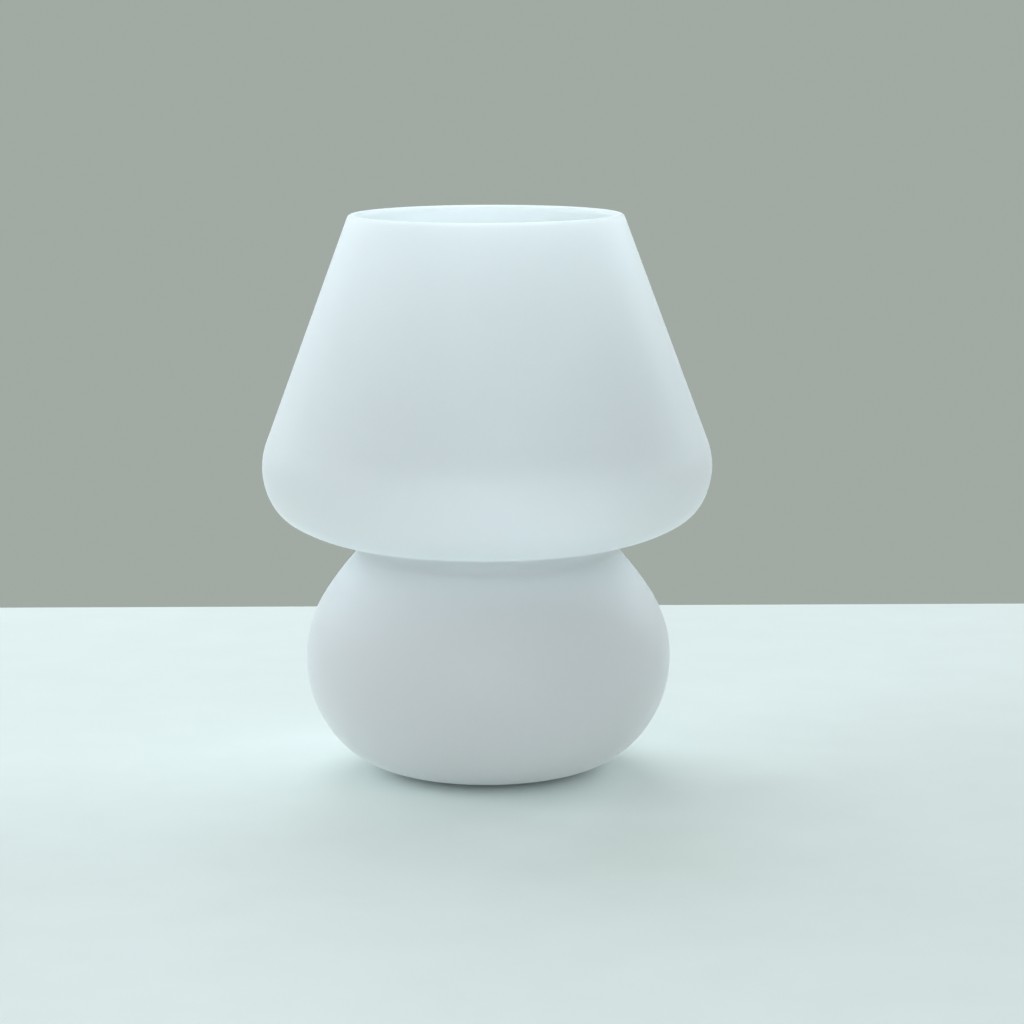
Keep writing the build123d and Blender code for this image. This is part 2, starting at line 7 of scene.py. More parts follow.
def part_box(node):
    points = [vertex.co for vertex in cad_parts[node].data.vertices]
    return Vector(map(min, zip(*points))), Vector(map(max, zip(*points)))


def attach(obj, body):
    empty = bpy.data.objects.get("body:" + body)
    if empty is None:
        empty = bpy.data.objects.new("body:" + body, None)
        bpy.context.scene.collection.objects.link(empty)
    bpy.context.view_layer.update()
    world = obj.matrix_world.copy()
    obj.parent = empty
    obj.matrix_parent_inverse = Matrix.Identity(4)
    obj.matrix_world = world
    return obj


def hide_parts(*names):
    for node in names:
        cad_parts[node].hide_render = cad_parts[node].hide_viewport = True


# Mushroom table lamp: the finishes of its satin opal glass, of the clamp and the lampholder
# inside it, and of the bulb. Outlines are (radius, height) in millimetres above the table.
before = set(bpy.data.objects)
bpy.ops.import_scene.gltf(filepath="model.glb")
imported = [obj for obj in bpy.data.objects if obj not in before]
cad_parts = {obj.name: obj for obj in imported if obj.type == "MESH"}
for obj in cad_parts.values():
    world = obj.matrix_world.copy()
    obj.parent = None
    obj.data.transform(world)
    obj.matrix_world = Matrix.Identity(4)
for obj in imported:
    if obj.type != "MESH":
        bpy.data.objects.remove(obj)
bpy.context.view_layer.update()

MM = 0.001

# ------------------------------------------------------------------ sizes of the glass
PAD_HEIGHT = 1.5
PAD_COUNT = 4
GLASS_TOP = 237.0
GLASS_WALL = 4.5
RIM_RADIUS = 57.6
RIM_ROUND = 2.0
SHADE_RADIUS = 95.0
SHOULDER_RADIUS = 30.0
SHOULDER_TURN = 28.7
LOWER_SHOULDER_RADIUS = 23.0
LOWER_SHOULDER_TURN = 31.6
UNDERSIDE_RADIUS = 61.0
NECK_Z = 95.65
NECK_FILLET = 4.5
BASE_RADIUS = 77.5
BASE_WIDEST_HEIGHT = 47.5
BASE_UPPER_RADIUS = 50.0
BASE_UPPER_TURN = 31.5
BASE_SLOPE_RADIUS = 119.0
BASE_LOWER_TURN = 40.3
FOOT_RADIUS = 34.0
PUNT_SLOPE = 50.0
PUNT_ROUND = 6.0
PUNT_INNER_ROUND = 1.5
PUNT_Z = 10.0
PUNT_FLAT_RADIUS = 14.5
STEM_HOLE_RADIUS = 6.2
INLET_HEIGHT = 22.0
INLET_HOLE_RADIUS = 6.0

# ------------------------------------------------------------------ sizes of the fittings
TUBE_BORE_RADIUS = 4.0
TUBE_PITCH = 1.0
TUBE_THREAD_DEPTH = 0.55
LAMP_PITCH = 3.629              # thread of the bulb's cap and of the shell that takes it
LAMP_THREAD_DEPTH = 0.85
LAMP_RUN_OUT = 1.6
CAP_SHEET = 0.3
CAP_CRIMP = 0.5
CAP_LEAD = 1.2                  # plain end of the cap, over the insulator
CAP_SKIRT = 5.0                 # plain part of the cap, under the housing
SHELL_SHEET = 0.5
SHELL_PLAIN = 4.0               # height of the shell below its thread
SHELL_EDGE = 0.8
SHELL_FLOOR_RADIUS = 8.5
INSULATOR_RIM = 1.2
TIP_ROUND = 1.0
HOUSING_WALL = 1.5
HOUSING_FOOT_RADIUS = 14.0
HOUSING_DECK_RIM = 6.0
FLARE_STEPS = 18
DIFFUSER_WALL = 1.2
EDGE_ROUND = 0.3
BOARD_THICKNESS = 1.5
EMITTER_COUNT = 12
EMITTER_CIRCLE = 15.0
EMITTER_SIDE = 2.8
SCREW_RADIUS = 1.5
SCREW_HEAD_RADIUS = 2.5
SCREW_HEAD_HEIGHT = 1.5
SCREW_SLOT_WIDTH = 0.6
SCREW_SLOT_DEPTH = 0.7
SCREW_COUNT = 2
SCREW_SPACING = 17.0

# ------------------------------------------------------------------ fineness of the meshes
ARC_STEP = 4.0                  # degrees of an outline's arc for each point
CURVE_SPACING = 2.2             # and the longest stretch between points, millimetres
GLASS_SEGMENTS = 180
SMALL_SEGMENTS = 96
TUBE_SEGMENTS = 72
ROWS_PER_TURN = 12              # of a thread
LATHE_RING = 0.001              # radius of the circle that carries an outline, metres
WELD = 0.000002                 # metres
SAME_POINT = 1e-4               # millimetres
SHARP_EDGE = radians(32)


# ------------------------------------------------------------------ outlines
def radial(angle):
    """Unit vector at an angle above level."""
    return Vector((cos(radians(angle)), sin(radians(angle))))


def arc(centre, radius, start, end):
    """Points of an arc about centre, from one angle above level to another, in degrees."""
    length = abs(radians(end - start)) * radius
    count = max(2, ceil(abs(end - start) / ARC_STEP), ceil(length / CURVE_SPACING))
    return [centre + radial(start + (end - start) * i / count) * radius for i in range(count + 1)]


def rounded(points, radii):
    """The corners of a polyline, each turned into an arc of its own radius."""
    points = [Vector(point) for point in points]
    outline = [points[0]]
    for before, corner, after, radius in zip(points, points[1:], points[2:], radii):
        if radius == 0:
            outline.append(corner)
            continue
        way_in = (corner - before).normalized()
        way_out = (after - corner).normalized()
        turn = way_in.angle_signed(way_out)
        side = 1 if turn < 0 else -1
        centre = corner - way_in * radius * tan(abs(turn) / 2)
        centre += Vector((-way_in.y, way_in.x)) * side * radius
        start = degrees(atan2(-side * way_in.x, side * way_in.y))
        outline += arc(centre, radius, start, start + side * degrees(abs(turn)))
    return outline + [points[-1]]


def straight(start, end, spacing):
    """Points along a straight stretch, so that what bends with it later stays smooth."""
    start, end = Vector(start), Vector(end)
    count = max(1, ceil((end - start).length / spacing))
    return [start.lerp(end, i / count) for i in range(count + 1)]


def smooth_curve(start, way_in, end, way_out, share):
    """A place on the smooth curve that leaves one point and reaches another along their ways."""
    rest = 1 - share
    return (
        start * rest * rest * (1 + 2 * share)
        + end * share * share * (3 - 2 * share)
        + way_in * rest * rest * share
        - way_out * share * share * rest
    )


def extent(node):
    """Lowest and highest level of a solid and its outer radius, in millimetres."""
    low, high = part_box(node)
    return low.z / MM, high.z / MM, high.x / MM


def without_repeats(points):
    """The points, with each one that lies on the last left out."""
    kept = [points[0]]
    for point in points[1:]:
        if (point - kept[-1]).length > SAME_POINT:
            kept.append(point)
    return kept


# ------------------------------------------------------------------ glass outline
foot_z = PAD_HEIGHT
base_widest_z = foot_z + BASE_WIDEST_HEIGHT
turn_cos = cos(radians(BASE_LOWER_TURN))
turn_sin = sin(radians(BASE_LOWER_TURN))
overhang = BASE_RADIUS - FOOT_RADIUS
turn_sum = turn_cos + turn_sin - 1
BASE_LOWER_RADIUS = (BASE_WIDEST_HEIGHT * turn_cos - overhang * (1 - turn_sin)) / turn_sum
HEEL_RADIUS = (overhang * turn_sin - BASE_WIDEST_HEIGHT * (1 - turn_cos)) / turn_sum

bowl_centre = Vector((BASE_RADIUS - BASE_UPPER_RADIUS, base_widest_z))
slope_centre = bowl_centre + radial(BASE_UPPER_TURN) * (BASE_UPPER_RADIUS - BASE_SLOPE_RADIUS)
slope_end = degrees(asin((NECK_Z - slope_centre.y) / (BASE_SLOPE_RADIUS + NECK_FILLET)))
neck_centre = slope_centre + radial(slope_end) * (BASE_SLOPE_RADIUS + NECK_FILLET)
underside_start = -(SHOULDER_TURN + LOWER_SHOULDER_TURN)
shoulder_to_lower = radial(-SHOULDER_TURN) * (SHOULDER_RADIUS - LOWER_SHOULDER_RADIUS)
lower_to_underside = radial(underside_start) * (LOWER_SHOULDER_RADIUS - UNDERSIDE_RADIUS)
underside_x = SHADE_RADIUS - SHOULDER_RADIUS + shoulder_to_lower.x + lower_to_underside.x
underside_end = -degrees(acos((neck_centre.x - underside_x) / (UNDERSIDE_RADIUS + NECK_FILLET)))
underside_centre = neck_centre - radial(underside_end) * (UNDERSIDE_RADIUS + NECK_FILLET)
lower_shoulder_centre = underside_centre - lower_to_underside
shoulder_centre = lower_shoulder_centre - shoulder_to_lower
rim_from_shoulder = Vector((RIM_RADIUS, GLASS_TOP)) - shoulder_centre
cone_tilt = degrees(atan2(rim_from_shoulder.y, rim_from_shoulder.x)
                    - acos(SHOULDER_RADIUS / rim_from_shoulder.length))
bowl_lower_centre = Vector((BASE_RADIUS - BASE_LOWER_RADIUS, base_widest_z))
heel_centre = Vector((FOOT_RADIUS, foot_z + HEEL_RADIUS))


def glass_side(inset):
    """One side of the glass, from the stem's hole out and up to the rim.

    Returns the points and the corner of the rim that they lead to.
    """
    corner_shift = inset * tan(radians(PUNT_SLOPE / 2))
    punt_corner = PUNT_ROUND * tan(radians(PUNT_SLOPE / 2))
    punt_radius = PUNT_FLAT_RADIUS + punt_corner
    ring_radius = punt_radius + (PUNT_Z - foot_z) / tan(radians(PUNT_SLOPE))
    points = rounded(
        [
            (STEM_HOLE_RADIUS, PUNT_Z + inset),
            (punt_radius + corner_shift, PUNT_Z + inset),
            (ring_radius + corner_shift, foot_z + inset),
            (FOOT_RADIUS, foot_z + inset),
        ],
        [PUNT_ROUND + inset, max(PUNT_ROUND - inset, PUNT_INNER_ROUND)],
    )
    points += arc(heel_centre, HEEL_RADIUS - inset, -90, -BASE_LOWER_TURN)
    points += arc(bowl_lower_centre, BASE_LOWER_RADIUS - inset, -BASE_LOWER_TURN, 0)
    points += arc(bowl_centre, BASE_UPPER_RADIUS - inset, 0, BASE_UPPER_TURN)
    points += arc(slope_centre, BASE_SLOPE_RADIUS - inset, BASE_UPPER_TURN, slope_end)
    points += arc(neck_centre, NECK_FILLET + inset, slope_end + 180, underside_end + 180)
    points += arc(underside_centre, UNDERSIDE_RADIUS - inset, underside_end, underside_start)
    points += arc(
        lower_shoulder_centre, LOWER_SHOULDER_RADIUS - inset, underside_start, -SHOULDER_TURN
    )
    points += arc(shoulder_centre, SHOULDER_RADIUS - inset, -SHOULDER_TURN, cone_tilt)
    cone_way = radial(cone_tilt + 90)
    top = points[-1] + cone_way * ((GLASS_TOP - points[-1].y) / cone_way.y)
    below_rim = top - cone_way * 2 * RIM_ROUND
    points += straight(points[-1], below_rim, 2 * CURVE_SPACING)
    return without_repeats(points), top


def glass_outline():
    """The wall of the glass as one closed outline."""
    outside, outer_corner = glass_side(0)
    inside, inner_corner = glass_side(GLASS_WALL)
    rim = rounded([outside[-1], outer_corner, inner_corner, inside[-1]], [RIM_ROUND, RIM_ROUND])
    return without_repeats(outside + rim + inside[::-1])


# ------------------------------------------------------------------ lathe and ring trees
def socket(tree, name, kind, direction="INPUT", value=None):
    """Adds a named input or output to a node tree."""
    made = tree.interface.new_socket(name, in_out=direction, socket_type="NodeSocket" + kind)
    if value is not None:
        made.default_value = value


def add_node(tree, kind, settings=None, values=None, links=None):
    """Adds a node, with its settings, its unlinked values and what feeds its inputs."""
    made = tree.nodes.new(kind)
    for name, value in (settings or {}).items():
        setattr(made, name, value)
    for key, value in (values or {}).items():
        made.inputs[key].default_value = value
    for key, source in (links or {}).items():
        tree.links.new(source, made.inputs[key])
    return made


def maths(tree, operation, first, second=None):
    """A Math node's result. Each side is a number or another node's output."""
    made = add_node(tree, "ShaderNodeMath", {"operation": operation})
    for index, side in enumerate((first, second)):
        if side is None:
            continue
        if isinstance(side, (int, float)):
            made.inputs[index].default_value = side
        else:
            tree.links.new(side, made.inputs[index])
    return made.outputs[0]


def finish_tree(tree, shape, finish):
    """Ends a tree: the shape made real and given its finish."""
    real = add_node(tree, "GeometryNodeRealizeInstances", links={"Geometry": shape})
    painted = add_node(
        tree,
        "GeometryNodeSetMaterial",
        links={"Geometry": real.outputs["Geometry"], "Material": finish},
    )
    result = tree.nodes.new("NodeGroupOutput")
    tree.links.new(painted.outputs["Geometry"], result.inputs["Piece"])


def make_lathe():
    """Turns an outline round the lamp's axis, and cuts or rolls a thread into it."""
    tree = bpy.data.node_groups.new("turn_round_axis", "GeometryNodeTree")
    socket(tree, "Outline", "Geometry")
    socket(tree, "Segments", "Int", value=SMALL_SEGMENTS)
    socket(tree, "Thread pitch", "Float", value=1.0)
    socket(tree, "Thread depth", "Float", value=0.0)
    socket(tree, "Thread roundness", "Float", value=1.0)
    socket(tree, "Thread bottom", "Float", value=0.0)
    socket(tree, "Thread top", "Float", value=0.0)
    socket(tree, "Thread run-out", "Float", value=MM)
    socket(tree, "Threaded beyond radius", "Float", value=0.0)
    socket(tree, "Finish", "Material")
    socket(tree, "Piece", "Geometry", "OUTPUT")
    sizes = tree.nodes.new("NodeGroupInput").outputs
    outline = add_node(tree, "GeometryNodeMeshToCurve", links={"Mesh": sizes["Outline"]})
    circle = add_node(
        tree,
        "GeometryNodeCurvePrimitiveCircle",
        values={"Radius": LATHE_RING},
        links={"Resolution": sizes["Segments"]},
    )
    turned = add_node(
        tree,
        "GeometryNodeCurveToMesh",
        links={"Curve": circle.outputs["Curve"], "Profile Curve": outline.outputs["Curve"]},
    )
    welded = add_node(
        tree,
        "GeometryNodeMergeByDistance",
        values={"Distance": WELD},
        links={"Geometry": turned.outputs["Mesh"]},
    )
    place = tree.nodes.new("GeometryNodeInputPosition").outputs["Position"]
    parts = add_node(tree, "ShaderNodeSeparateXYZ", links={"Vector": place}).outputs
    angle = maths(tree, "ARCTAN2", parts["Y"], parts["X"])
    radius = maths(
        tree,
        "SQRT",
        maths(
            tree,
            "ADD",
            maths(tree, "MULTIPLY", parts["X"], parts["X"]),
            maths(tree, "MULTIPLY", parts["Y"], parts["Y"]),
        ),
    )
    turns = maths(
        tree,
        "SUBTRACT",
        maths(tree, "DIVIDE", parts["Z"], sizes["Thread pitch"]),
        maths(tree, "DIVIDE", angle, 2 * pi),
    )
    # The groove's depth, 0 at the crest and 1 at the root, as a wave and as a vee.
    wave = maths(
        tree, "MULTIPLY_ADD", maths(tree, "COSINE", maths(tree, "MULTIPLY", turns, 2 * pi)), -0.5
    )
    wave.node.inputs[2].default_value = 0.5
    vee = maths(tree, "PINGPONG", maths(tree, "MULTIPLY", turns, 2), 1.0)
    groove = add_node(
        tree,
        "ShaderNodeMix",
        links={"Factor": sizes["Thread roundness"], "A": vee, "B": wave},
    )
    # The thread fades over its run-out at both ends.
    fade_in = maths(
        tree, "DIVIDE", maths(tree, "SUBTRACT", parts["Z"], sizes["Thread bottom"]),
        sizes["Thread run-out"],
    )
    fade_out = maths(
        tree, "DIVIDE", maths(tree, "SUBTRACT", sizes["Thread top"], parts["Z"]),
        sizes["Thread run-out"],
    )
    fade = add_node(
        tree, "ShaderNodeClamp", links={"Value": maths(tree, "MINIMUM", fade_in, fade_out)}
    )
    depth = maths(
        tree,
        "MULTIPLY",
        maths(tree, "MULTIPLY", groove.outputs["Result"], fade.outputs["Result"]),
        sizes["Thread depth"],
    )
    outward = add_node(
        tree, "ShaderNodeCombineXYZ", links={"X": parts["X"], "Y": parts["Y"]}
    )
    way = add_node(
        tree,
        "ShaderNodeVectorMath",
        {"operation": "NORMALIZE"},
        links={0: outward.outputs["Vector"]},
    )
    shift = add_node(
        tree,
        "ShaderNodeVectorMath",
        {"operation": "SCALE"},
        links={0: way.outputs["Vector"], "Scale": maths(tree, "MULTIPLY", depth, -1.0)},
    )
    beyond = maths(tree, "GREATER_THAN", radius, sizes["Threaded beyond radius"])
    threaded = add_node(
        tree,
        "GeometryNodeSetPosition",
        links={
            "Geometry": welded.outputs["Geometry"],
            "Selection": beyond,
            "Offset": shift.outputs["Vector"],
        },
    )
    finish_tree(tree, threaded.outputs["Geometry"], sizes["Finish"])
    return tree


def ring_of_places(tree):
    """Places evenly round the axis, each turned to face outwards."""
    socket(tree, "Count", "Int", value=12)
    socket(tree, "Radius", "Float", value=0.01)
    sizes = tree.nodes.new("NodeGroupInput").outputs
    ring = add_node(
        tree,
        "GeometryNodeMeshCircle",
        links={"Vertices": sizes["Count"], "Radius": sizes["Radius"]},
    )
    place = tree.nodes.new("GeometryNodeInputPosition").outputs["Position"]
    facing = add_node(
        tree,
        "FunctionNodeAlignRotationToVector",
        {"axis": "X", "pivot_axis": "Z"},
        links={"Vector": place},
    )
    return sizes, ring.outputs["Mesh"], facing.outputs["Rotation"]


def row_of_places(tree):
    """Places in a row along X, from a first one on."""
    socket(tree, "Count", "Int", value=2)
    socket(tree, "First place", "Vector")
    socket(tree, "Step", "Vector")
    sizes = tree.nodes.new("NodeGroupInput").outputs
    row = add_node(
        tree,
        "GeometryNodeMeshLine",
        links={
            "Count": sizes["Count"],
            "Start Location": sizes["First place"],
            "Offset": sizes["Step"],
        },
    )
    return sizes, row.outputs["Mesh"], None


def make_repeat(name, add_places):
    """Repeats one small form at the places that add_places makes."""
    tree = bpy.data.node_groups.new(name, "GeometryNodeTree")
    socket(tree, "Form", "Geometry")
    socket(tree, "Finish", "Material")
    socket(tree, "Piece", "Geometry", "OUTPUT")
    sizes, places, facing = add_places(tree)
    links = {"Points": places, "Instance": sizes["Form"]}
    if facing:
        links["Rotation"] = facing
    forms = add_node(tree, "GeometryNodeInstanceOnPoints", links=links)
    finish_tree(tree, forms.outputs["Instances"], sizes["Finish"])
    return tree


LATHE = make_lathe()
RING = make_repeat("repeat_in_ring", ring_of_places)
ROW = make_repeat("repeat_in_row", row_of_places)


# ------------------------------------------------------------------ making pieces
def new_object(name, mesh):
    made = bpy.data.objects.new(name, mesh)
    bpy.context.scene.collection.objects.link(made)
    return made


def baked(piece):
    """The piece with its modifiers worked into a plain mesh."""
    bpy.context.view_layer.update()
    mesh = bpy.data.meshes.new_from_object(
        piece.evaluated_get(bpy.context.evaluated_depsgraph_get())
    )
    old = piece.data
    piece.modifiers.clear()
    piece.data = mesh
    bpy.data.meshes.remove(old)
    mesh.name = piece.name
    return piece


def run_tree(piece, tree, sizes):
    """Runs a node tree on a piece, with its inputs given by name."""
    modifier = piece.modifiers.new(tree.name, "NODES")
    modifier.node_group = tree
    sockets = {item.name: item.identifier for item in tree.interface.items_tree
               if item.in_out == "INPUT"}
    for name, value in sizes.items():
        modifier[sockets[name]] = value
    return baked(piece)


def soften(piece):
    """Smooth shading, with creases kept where the surface really turns."""
    piece.data.shade_smooth()
    piece.data.set_sharp_from_angle(angle=SHARP_EDGE)
    return piece


def outwards(piece):
    """Turns all faces of a closed piece outwards."""
    working = bmesh.new()
    working.from_mesh(piece.data)
    bmesh.ops.remove_doubles(working, verts=working.verts, dist=WELD)
    bmesh.ops.recalc_face_normals(working, faces=working.faces)
    working.to_mesh(piece.data)
    working.free()
    return piece


def thread(pitch, depth, roundness, bottom, top, run_out, beyond):
    """The lathe's inputs for a thread, from sizes in millimetres.

    Roundness 0 cuts a vee and 1 rolls a wave. Only what lies beyond a radius is threaded.
    """
    return {
        "Thread pitch": pitch * MM,
        "Thread depth": depth * MM,
        "Thread roundness": float(roundness),
        "Thread bottom": bottom * MM,
        "Thread top": top * MM,
        "Thread run-out": run_out * MM,
        "Threaded beyond radius": beyond * MM,
    }


def turned(name, outline, finish, closed=True, segments=SMALL_SEGMENTS, inputs=None):
    """A piece turned from its outline. Where the outline isn't closed, it ends on the axis."""
    points = without_repeats([Vector(point) for point in outline])
    if closed and (points[0] - points[-1]).length < SAME_POINT:
        points.pop()
    mesh = bpy.data.meshes.new(name)
    edges = [(i, i + 1) for i in range(len(points) - 1)]
    if closed:
        edges.append((len(points) - 1, 0))
    mesh.from_pydata([(r * MM - LATHE_RING, -z * MM, 0) for r, z in points], edges, [])
    sizes = {"Segments": segments, "Finish": finish, **(inputs or {})}
    return soften(outwards(run_tree(new_object(name, mesh), LATHE, sizes)))


def cut_away(piece, working):
    """Cuts a form out of a piece."""
    mesh = bpy.data.meshes.new("cutter")
    working.to_mesh(mesh)
    working.free()
    cutter = new_object("cutter", mesh)
    cut = piece.modifiers.new("cut", "BOOLEAN")
    cut.operation = "DIFFERENCE"
    cut.object = cutter
    cut.solver = "EXACT"
    baked(piece)
    bpy.data.objects.remove(cutter)
    bpy.data.meshes.remove(mesh)
    return soften(piece)


def block(size, middle):
    """A box, from its size and the place of its middle, in millimetres."""
    working = bmesh.new()
    place = Matrix.Translation(Vector(middle) * MM) @ Matrix.Diagonal((*(Vector(size) * MM), 1))
    bmesh.ops.create_cube(working, size=1.0, matrix=place)
    return working


def dress(piece, body, slot, *nodes):
    """Seats a finished piece on its body, in place of the plain solids that it stands for."""
    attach(piece, body)
    if nodes:
        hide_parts(*nodes)


def coat(node, finish):
    """Gives a solid of the frame its finish."""
    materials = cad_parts[node].data.materials
    materials.clear()
    materials.append(finish)


# ------------------------------------------------------------------ finishes
# Noise at or under the first counts as its lowest, and at or over the second as its highest.
PATTERN_LOW = 0.3
PATTERN_HIGH = 0.7
FLOW_SHADE = 0.965              # moulded plastic where it is darkest


def new_finish(name, colour, roughness, **shader_values):
    """A material with a shader whose plain values are set on its own sockets."""
    finish = bpy.data.materials.new(name)
    finish.use_nodes = True
    finish.node_tree.nodes.clear()
    tree = finish.node_tree
    shader = add_node(
        tree,
        "ShaderNodeBsdfPrincipled",
        values={"Base Color": (*colour, 1), "Roughness": roughness},
    )
    for key, value in shader_values.items():
        shader.inputs[key.replace("_", " ").title().replace("Ior", "IOR")].default_value = value
    add_node(tree, "ShaderNodeOutputMaterial", links={"Surface": shader.outputs["BSDF"]})
    return finish, tree, shader


def pattern(tree, scale, detail=3.0, roughness=0.5, stretch=(1, 1, 1)):
    """Noise over the piece, its scale in features for each metre."""
    place = add_node(tree, "ShaderNodeTexCoord").outputs["Object"]
    shaped = add_node(
        tree, "ShaderNodeMapping", values={"Scale": stretch}, links={"Vector": place}
    )
    return add_node(
        tree,
        "ShaderNodeTexNoise",
        values={"Scale": scale, "Detail": detail, "Roughness": roughness},
        links={"Vector": shaped.outputs["Vector"]},
    ).outputs["Fac"]


def between(tree, source, low, high):
    """A pattern spread between two values."""
    return add_node(
        tree,
        "ShaderNodeMapRange",
        values={
            "From Min": PATTERN_LOW, "From Max": PATTERN_HIGH, "To Min": low, "To Max": high
        },
        links={"Value": source},
    ).outputs["Result"]


def tint(tree, shader, source, first, second):
    """Colours the shader between two shades by a pattern."""
    ramp = add_node(tree, "ShaderNodeValToRGB", links={"Fac": source})
    for stop, place, colour in zip(
        ramp.color_ramp.elements, (PATTERN_LOW, PATTERN_HIGH), (first, second)
    ):
        stop.position = place
        stop.color = (*colour, 1)
    tree.links.new(ramp.outputs["Color"], shader.inputs["Base Color"])


def relief(tree, shader, source, height, strength=1.0, under=None):
    """Bumps the surface by a pattern, height in millimetres, over another relief if given."""
    made = add_node(
        tree,
        "ShaderNodeBump",
        values={"Strength": strength, "Distance": height * MM},
        links={"Height": source},
    )
    if under:
        tree.links.new(under, made.inputs["Normal"])
    tree.links.new(made.outputs["Normal"], shader.inputs["Normal"])
    return made.outputs["Normal"]


def satin_opal_glass():
    """Milky glass with an acid-etched skin, a little uneven where it was blown."""
    finish, tree, shader = new_finish(
        "satin_opal_glass", (0.885, 0.975, 0.985), 0.5,
        subsurface_weight=1.0, subsurface_scale=0.036, ior=1.5,
        specular_ior_level=0.35, sheen_weight=0.3, sheen_roughness=0.35,
    )
    shader.inputs["Subsurface Radius"].default_value = (0.9, 1.0, 1.0)
    cloud = pattern(tree, scale=14, detail=2.0, stretch=(1, 1, 0.35))
    tint(tree, shader, cloud, (0.88, 0.97, 0.98), (0.89, 0.98, 0.99))
    etch = pattern(tree, scale=2600, detail=4.0, roughness=0.6)
    tree.links.new(between(tree, etch, low=0.46, high=0.58), shader.inputs["Roughness"])
    waves = relief(
        tree, shader, pattern(tree, scale=9, detail=1.0), height=0.35, strength=0.25
    )
    relief(tree, shader, etch, height=0.02, strength=0.35, under=waves)
    return finish


def soft_silicone():
    finish, tree, shader = new_finish(
        "soft_silicone", (0.75, 0.77, 0.76), 0.42, subsurface_weight=0.4, subsurface_scale=0.002,
        ior=1.41,
    )
    dust = pattern(tree, scale=900)
    tint(tree, shader, dust, (0.70, 0.72, 0.71), (0.80, 0.82, 0.81))
    relief(tree, shader, dust, height=0.03, strength=0.4)
    return finish


def milky_pvc():
    finish, tree, shader = new_finish(
        "milky_pvc", (0.80, 0.83, 0.83), 0.38, subsurface_weight=0.5, subsurface_scale=0.003,
        ior=1.53,
    )
    grain = pattern(tree, scale=1400)
    tint(tree, shader, grain, (0.77, 0.80, 0.80), (0.83, 0.86, 0.86))
    tree.links.new(between(tree, grain, low=0.33, high=0.45), shader.inputs["Roughness"])
    relief(tree, shader, grain, height=0.02, strength=0.4)
    return finish


def moulded_rubber():
    finish, tree, shader = new_finish("moulded_rubber", (0.03, 0.03, 0.032), 0.62, ior=1.52)
    grain = pattern(tree, scale=1800, detail=5.0)
    tint(tree, shader, grain, (0.022, 0.022, 0.024), (0.045, 0.045, 0.047))
    tree.links.new(between(tree, grain, low=0.5, high=0.75), shader.inputs["Roughness"])
    relief(tree, shader, grain, height=0.03, strength=0.6)
    return finish


def plated_metal(name, dark, light, smooth, dull, stretch=(1, 1, 1)):
    """Plated or turned metal, with faint tool marks and a patchy shine."""
    finish, tree, shader = new_finish(name, light, smooth, metallic=1.0)
    patches = pattern(tree, scale=260, detail=4.0)
    marks = pattern(tree, scale=1500, detail=3.0, stretch=stretch)
    tint(tree, shader, patches, dark, light)
    tree.links.new(between(tree, patches, low=smooth, high=dull), shader.inputs["Roughness"])
    relief(tree, shader, marks, height=0.008, strength=0.5)
    return finish


def moulded_plastic(name, colour, smooth, dull, glow=0.0):
    """Injection-moulded plastic with a fine spark-eroded grain."""
    finish, tree, shader = new_finish(
        name, colour, smooth, ior=1.49, subsurface_weight=glow, subsurface_scale=0.002
    )
    grain = pattern(tree, scale=1600, detail=4.0)
    flow = pattern(tree, scale=60, detail=2.0)
    darker = tuple(channel * FLOW_SHADE for channel in colour)
    tint(tree, shader, flow, darker, colour)
    tree.links.new(between(tree, grain, low=smooth, high=dull), shader.inputs["Roughness"])
    relief(tree, shader, grain, height=0.015, strength=0.5)
    return finish


def fired_ceramic():
    finish, tree, shader = new_finish("fired_ceramic", (0.78, 0.76, 0.70), 0.55, ior=1.6)
    body = pattern(tree, scale=420, detail=6.0, roughness=0.65)
    tint(tree, shader, body, (0.74, 0.72, 0.66), (0.82, 0.80, 0.75))
    tree.links.new(between(tree, body, low=0.48, high=0.66), shader.inputs["Roughness"])
    relief(
        tree, shader, pattern(tree, scale=2400, detail=5.0), height=0.02, strength=0.6
    )
    return finish


def black_vitrite():
    finish, tree, shader = new_finish("black_vitrite", (0.02, 0.018, 0.025), 0.12, ior=1.6)
    swirl = pattern(tree, scale=320, detail=2.0)
    tint(tree, shader, swirl, (0.012, 0.011, 0.016), (0.035, 0.03, 0.045))
    tree.links.new(between(tree, swirl, low=0.08, high=0.2), shader.inputs["Roughness"])
    relief(tree, shader, swirl, height=0.06, strength=0.5)
    return finish


OPAL = satin_opal_glass()
SILICONE = soft_silicone()
PVC = milky_pvc()
RUBBER = moulded_rubber()
ZINC = plated_metal("bright_zinc", (0.52, 0.54, 0.57), (0.66, 0.67, 0.68), 0.24, 0.38)
BRASS = plated_metal("turned_brass", (0.62, 0.44, 0.20), (0.74, 0.56, 0.28), 0.2, 0.34)
BRONZE = plated_metal(
    "rolled_bronze", (0.55, 0.34, 0.18), (0.68, 0.45, 0.25), 0.22, 0.36, (0.1, 1, 1)
)
NICKEL = plated_metal("nickel_sheet", (0.56, 0.54, 0.50), (0.70, 0.68, 0.64), 0.16, 0.3)
SOLDER = plated_metal("tinned_solder", (0.48, 0.48, 0.50), (0.62, 0.62, 0.63), 0.3, 0.48)
HOLDER_PLASTIC = moulded_plastic("white_thermoplastic", (0.80, 0.80, 0.77), 0.26, 0.38, 0.1)
HOUSING_PLASTIC = moulded_plastic("white_housing", (0.82, 0.82, 0.81), 0.36, 0.48, 0.1)
DIFFUSER = moulded_plastic("frosted_diffuser", (0.88, 0.88, 0.85), 0.34, 0.44, 0.6)
BOARD = moulded_plastic("board_lacquer", (0.78, 0.79, 0.76), 0.3, 0.42)
PHOSPHOR = moulded_plastic("yellow_phosphor", (0.80, 0.62, 0.10), 0.25, 0.36, 0.3)
CERAMIC = fired_ceramic()
